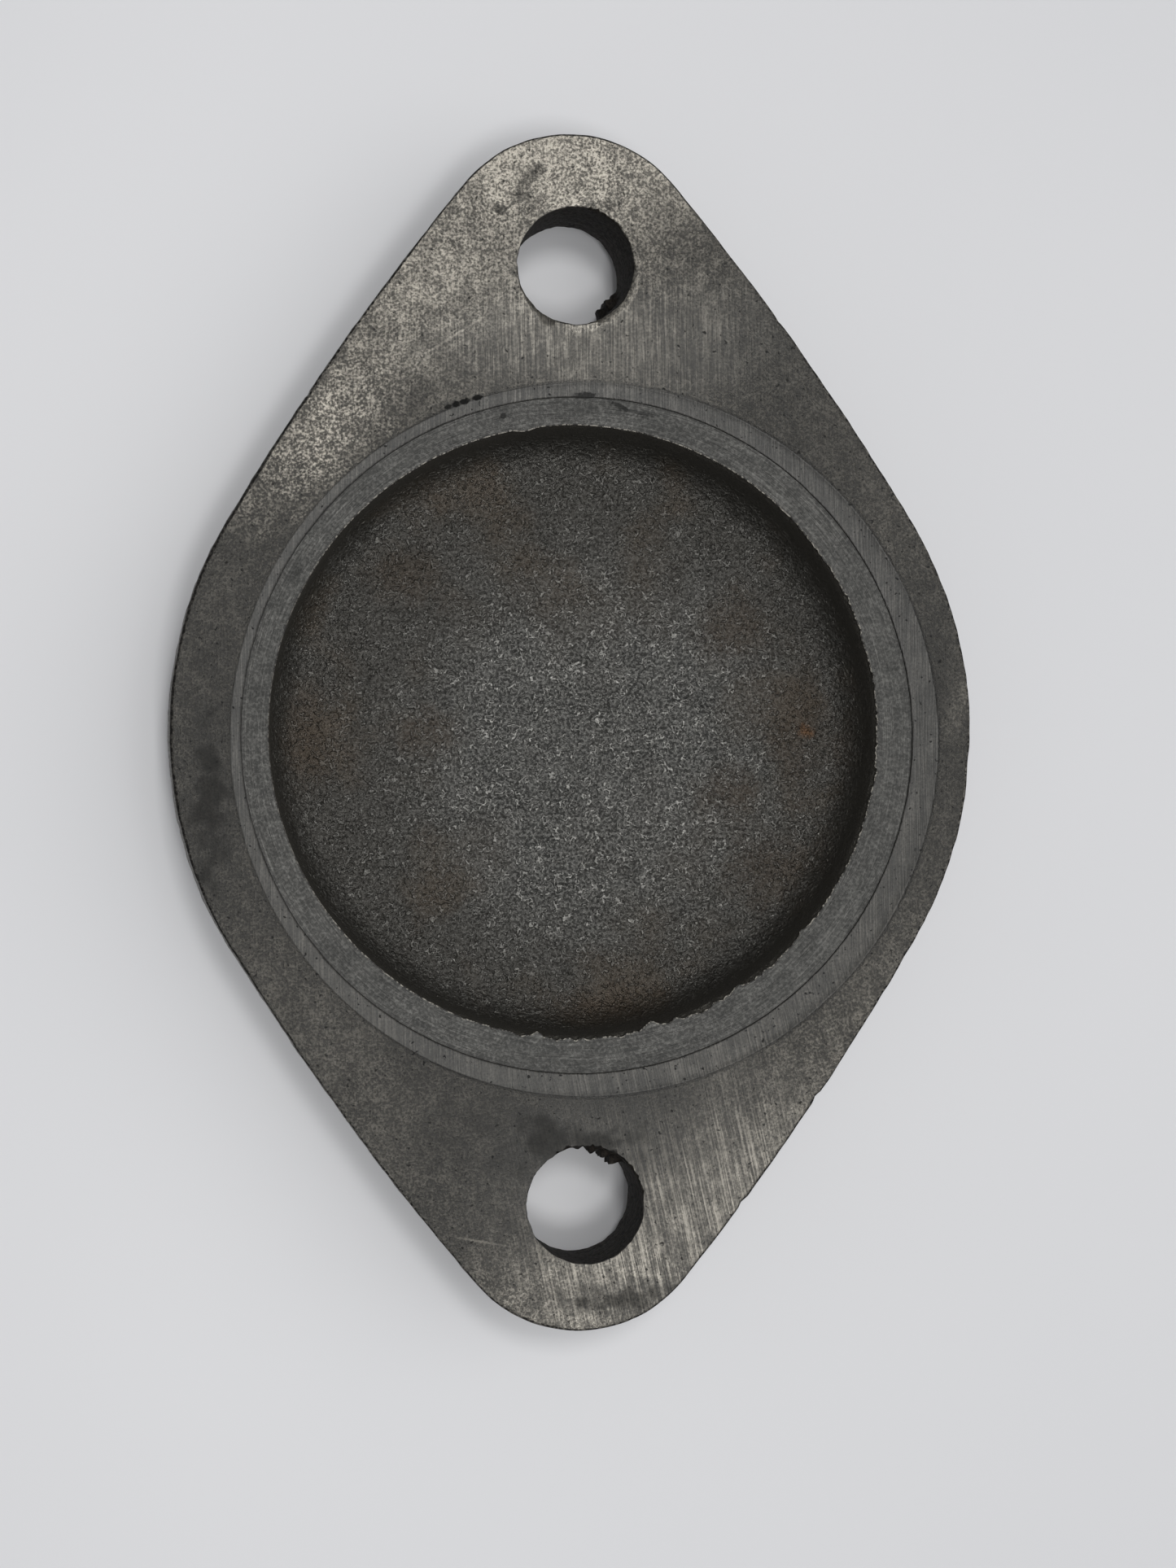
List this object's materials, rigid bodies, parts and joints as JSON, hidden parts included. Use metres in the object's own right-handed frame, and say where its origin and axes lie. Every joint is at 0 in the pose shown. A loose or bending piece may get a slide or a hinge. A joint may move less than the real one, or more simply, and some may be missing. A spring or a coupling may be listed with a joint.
{
  "type": "flanged blanking cover",
  "caption": "Cast-iron blanking cover: a rhombic flange with a bolt hole at each end, a ground gasket face, a round recess inside it and a round boss on the back.",
  "frame": {"origin": "the point midway between the bolt holes, on the face of the back boss that the cover rests on", "axes": "+Z out of the gasket face, +Y along the line of the bolt holes, +X across the flange"},
  "size_m": [0.0764, 0.1133, 0.014],
  "materials": {
    "cast_iron": "as cast, with a ground gasket face"
  },
  "bodies": {
    "root": {"cover_casting": "cast_iron"}
  },
  "joints": []
}
